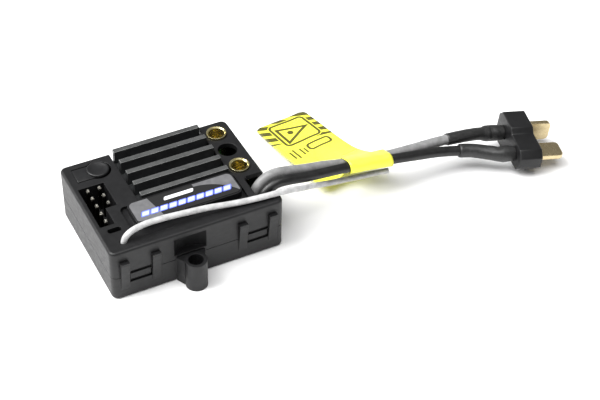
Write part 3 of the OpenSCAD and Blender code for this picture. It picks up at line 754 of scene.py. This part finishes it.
def tag_point(across, along):
    """A point of the flag, given in millimetres.

    across runs from its left edge, and along from the lead to its far end.
    """
    rise_from, rise_over = 5.2, 4.5
    share = min(max((across - rise_from) / rise_over, 0), 1)
    share = share * share * (3 - 2 * share)
    height = smoothed(TAIL_HEIGHTS, along) * (1 - share) + smoothed(RISE_HEIGHTS, along) * share
    curl = 0.22 * noise.noise(Vector((across * 0.12, along * 0.1, 0)))
    level = max(height + curl, TAG_FILM / MM)
    return TAG_AT + TAG_TURN @ mm(across - TAG_WIDTH / MM / 2, along, level)


def film_sheet(name, rows, uv_rows, material):
    """A thin sheet through rows of points, given its thickness by a modifier."""
    columns = len(rows[0])
    verts = [point for row in rows for point in row]
    faces, places = [], []
    for i in range(len(rows) - 1):
        for k in range(columns - 1):
            corners = [(i, k), (i, k + 1), (i + 1, k + 1), (i + 1, k)]
            faces.append([r * columns + c for r, c in corners])
            places.append([uv_rows[r][c] for r, c in corners])
    piece = add_piece(name, mapped_mesh(name, verts, faces, places), material)
    skin = piece.modifiers.new("film", "SOLIDIFY")
    skin.thickness = TAG_FILM
    skin.offset = 0
    return piece


def strip_rows(left, right, near, far, steps, round_far=False, round_near=False):
    """Rows of points and UVs of a part of the flag, with round corners at its far or near end."""
    across, corner = 28, TAG_CORNER / MM
    rows, uv_rows = [], []
    for i in range(steps + 1):
        along = near + (far - near) * i / steps
        from_end = min(far - along if round_far else corner, along - near if round_near else corner)
        cut = corner - math.sqrt(max(corner ** 2 - (corner - min(from_end, corner)) ** 2, 0))
        row, uv_row = [], []
        for k in range(across + 1):
            x = left + cut + (right - left - (2 if round_far else 1) * cut) * k / across
            row.append(tag_point(x, along))
            uv_row.append((x, TAG_FAR - along))
        rows.append(row)
        uv_rows.append(uv_row)
    return rows, uv_rows


def make_tag():
    """The flag: one strip, slit near the lead into a tail below the wires and a riser to the band."""
    width = TAG_WIDTH / MM
    slit_offset = 0.6
    slit_x = width / 2 + slit_offset
    flag_rows, flag_uvs = strip_rows(0, width, TAG_SLIT, TAG_FAR, 60, round_far=True)
    tail_rows, tail_uvs = strip_rows(0, slit_x, TAG_TAIL, TAG_SLIT, 16, round_near=True)
    rise_rows, rise_uvs = strip_rows(slit_x, width, TAG_RISER, TAG_SLIT, 16)
    material = tag_film("tag_film", width)
    pieces = [film_sheet("tag_flag", flag_rows, flag_uvs, material),
              film_sheet("tag_tail", tail_rows, tail_uvs, material),
              film_sheet("tag_riser", rise_rows, rise_uvs, material)]
    for piece in pieces:
        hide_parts("warning_tag")
    return pieces


def make_band(material):
    """The part of the tag that wraps both wires: a closed strip, drawn tight and slightly puckered."""
    stations, sides = 18, 48
    slack, widening = 0.24, 0.1
    film_across, film_from, film_along = 9.0, 24.0, 6
    right = TAG_HIGH.x
    rows, uv_rows = [], []
    for i in range(stations + 1):
        share = i / stations
        x = BAND_LEFT + (right - BAND_LEFT) * share
        upper = min(grey_path, key=lambda p: abs(p.x - x))
        lower = min(black_path, key=lambda p: abs(p.x - x))
        axis = upper - lower
        axis.x = 0
        lean = axis.normalized()
        out = Vector((0, lean.z, -lean.y))
        girth = WIRE_DIAMETER / 2 + (slack + widening * share) * MM
        row, uv_row = [], []
        for k in range(sides + 1):
            angle = 2 * math.pi * k / sides
            c, s = math.cos(angle), math.sin(angle)
            centre = upper if s >= 0 else lower
            pucker = 1 + 0.05 * noise.noise(Vector((x * 500, 2 * c, 2 * s)))
            at = Vector((x, centre.y, centre.z)) + girth * pucker * (c * out + s * lean)
            row.append(at)
            uv_row.append((share * film_across, film_from + film_along * k / sides))
        rows.append(row)
        uv_rows.append(uv_row)
    return film_sheet("tag_band", rows, uv_rows, material)


tag_flag, tag_tail, tag_riser = make_tag()
tag_band = make_band(tag_flag.data.materials[0])
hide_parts("warning_tag")

# ---------------------------------------------------------------- plug and button


def bevelled(name, verts, faces, width, material, segments=3, body="case"):
    """A solid from corners and faces in metres, with every edge rounded."""
    mesh = bpy.data.meshes.new(name)
    shape = bmesh.new()
    corners = [shape.verts.new(v) for v in verts]
    for face in faces:
        shape.faces.new([corners[i] for i in face])
    bmesh.ops.recalc_face_normals(shape, faces=shape.faces)
    bmesh.ops.bevel(shape, geom=list(shape.edges), offset=width, segments=segments, profile=0.6,
                    affect="EDGES", clamp_overlap=True)
    shape.to_mesh(mesh)
    shape.free()
    return add_piece(name, mesh, material, body=body)


def prism(section, near, far):
    """Corners and faces of a section of (across, rise) points swept along the plug from near to far."""
    verts = [plug_point(end, a, r) for end in (near, far) for a, r in section]
    return verts, swept_faces(len(section))


def make_plug():
    """The T-plug's body: a thick half and a thin half, with cut corners."""
    half, tall, low, cut = 7.8 * MM, 4.0 * MM, 2.8 * MM, 1.5 * MM
    step_low, step_high = -0.6 * MM, 0.4 * MM
    section = [(-half, -low + cut), (-half + cut, -low), (step_low, -low), (step_high, -tall),
               (half - cut, -tall), (half, -tall + cut), (half, tall - cut), (half - cut, tall),
               (step_high, tall), (step_low, low), (-half + cut, low), (-half, low - cut)]
    body = bevelled("plug_body", *prism(section, -PLUG_LENGTH / 2, PLUG_LENGTH / 2), 0.28 * MM, PLUG)
    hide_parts("plug_housing")
    return body


def make_blade(name, side, node):
    """A contact blade with cut tip corners. It starts inside the body and has no solder tab."""
    reach, wide, thick = 5.9 * MM, 2.4 * MM, 0.6 * MM
    corner, start = 0.9 * MM, PLUG_LENGTH / 2 - 1.5 * MM
    tip = PLUG_LENGTH / 2 + reach
    outline = [(start, -wide), (start, wide), (tip - corner, wide), (tip - 0.3 * corner, wide - 0.3 * corner),
               (tip, wide - corner), (tip, -wide + corner), (tip - 0.3 * corner, -wide + 0.3 * corner),
               (tip - corner, -wide)]

    def place(axial, offset, level):
        if side > 0:
            return plug_point(axial, side * CONTACT_OFFSET + level, offset)
        return plug_point(axial, side * CONTACT_OFFSET + offset, level)

    verts = [place(a, o, level) for level in (-thick, thick) for a, o in outline]
    blade = bevelled(name, verts, swept_faces(len(outline)), 0.2 * MM, BRASS)
    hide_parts(node)
    return blade


def make_button():
    """The setup button: a dished disc with a nib below, on a tongue that thins at its root."""
    low, high = (Vector(corner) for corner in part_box("setup_button"))
    radius, width = 2.5 * MM, 4.1 * MM
    centre = Vector((high.x - radius, (low.y + high.y) / 2, 0))
    top, lid, under = high.z, high.z - 0.5 * MM, high.z - 1.7 * MM
    profile = [(0, top - 0.28 * MM), (0.9, top - 0.27 * MM), (1.5, top - 0.2 * MM),
               (1.9, top - 0.06 * MM), (2.1, top - 0.01 * MM), (2.28, top - 0.03 * MM),
               (2.42, top - 0.16 * MM), (2.46, top - 0.34 * MM), (2.46, under), (0.8, under),
               (0.78, low.z + 0.06 * MM), (0.6, low.z), (0, low.z)]
    turns = 64
    mesh = bpy.data.meshes.new("button_disc")
    shape = bmesh.new()
    rings = []
    for reach, height in profile:
        if reach == 0:
            rings.append([shape.verts.new((centre.x, centre.y, height))])
        else:
            angles = [2 * math.pi * k / turns for k in range(turns)]
            rings.append([shape.verts.new((centre.x + reach * MM * math.cos(angle),
                                           centre.y + reach * MM * math.sin(angle), height))
                          for angle in angles])
    for inner, outer in zip(rings, rings[1:]):
        for k in range(turns):
            n = (k + 1) % turns
            corners = {id(v): v for v in (inner[k % len(inner)], inner[n % len(inner)],
                                          outer[n % len(outer)], outer[k % len(outer)])}
            shape.faces.new(list(corners.values()))
    bmesh.ops.recalc_face_normals(shape, faces=shape.faces)
    shape.to_mesh(mesh)
    shape.free()
    disc = add_piece("button_disc", mesh, BUTTON, body="button")
    root, thin, end = low.x, under + 0.5 * MM, centre.x
    bend = root + 1.6 * MM
    side_view = [(root, lid), (root, thin), (bend, thin), (bend, under), (end, under), (end, lid)]
    verts = [(x, centre.y + y, z) for y in (-width / 2, width / 2) for x, z in side_view]
    tongue = bevelled("button_tongue", verts, swept_faces(len(side_view)), 0.06 * MM, BUTTON, segments=2,
                      body="button")
    for piece in (disc, tongue):
        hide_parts("setup_button")


plug_pieces = [make_plug(), make_blade("blade_upright", 1, "plug_blade_upright"),
               make_blade("blade_flat", -1, "plug_blade_flat")]
make_button()

# ---------------------------------------------------------------- floor and light


def make_floor():
    """A plain pale floor."""
    s = Shader("floor", Base_Color=grey(0.9), Roughness=0.9)
    s.bump(s.noise(s.place(), 40.0, 2.0, 0.5), 0.02)
    half = 3.0
    mesh = bpy.data.meshes.new("floor")
    corners = [(-half, -half, 0), (half, -half, 0), (half, half, 0), (-half, half, 0)]
    mesh.from_pydata(corners, [], [(0, 1, 2, 3)])
    mesh.materials.append(s.material)
    floor = bpy.data.objects.new("floor", mesh)
    bpy.context.scene.collection.objects.link(floor)


def softbox(name, position, size, power):
    """A square area light that faces the middle of the object."""
    lamp = bpy.data.lights.new(name, "AREA")
    lamp.shape = "SQUARE"
    lamp.size = size
    lamp.energy = power
    light = bpy.data.objects.new(name, lamp)
    light.location = position
    light.rotation_euler = (CAMERA_TARGET - Vector(position)).to_track_quat("-Z", "Y").to_euler()
    bpy.context.scene.collection.objects.link(light)


def make_light():
    """A soft white studio: an even surround and two large lamps."""
    world = bpy.data.worlds.new("studio")
    world.use_nodes = True
    world.node_tree.nodes["Background"].inputs["Color"].default_value = (1.0, 1.0, 1.0, 1.0)
    world.node_tree.nodes["Background"].inputs["Strength"].default_value = 0.3
    bpy.context.scene.world = world
    softbox("key", (-0.75, 0.3, 0.95), 0.9, 30.0)
    softbox("top", (-0.1, -0.25, 1.3), 1.0, 13.0)
    bpy.context.scene.view_settings.view_transform = "Standard"


make_floor()
make_light()
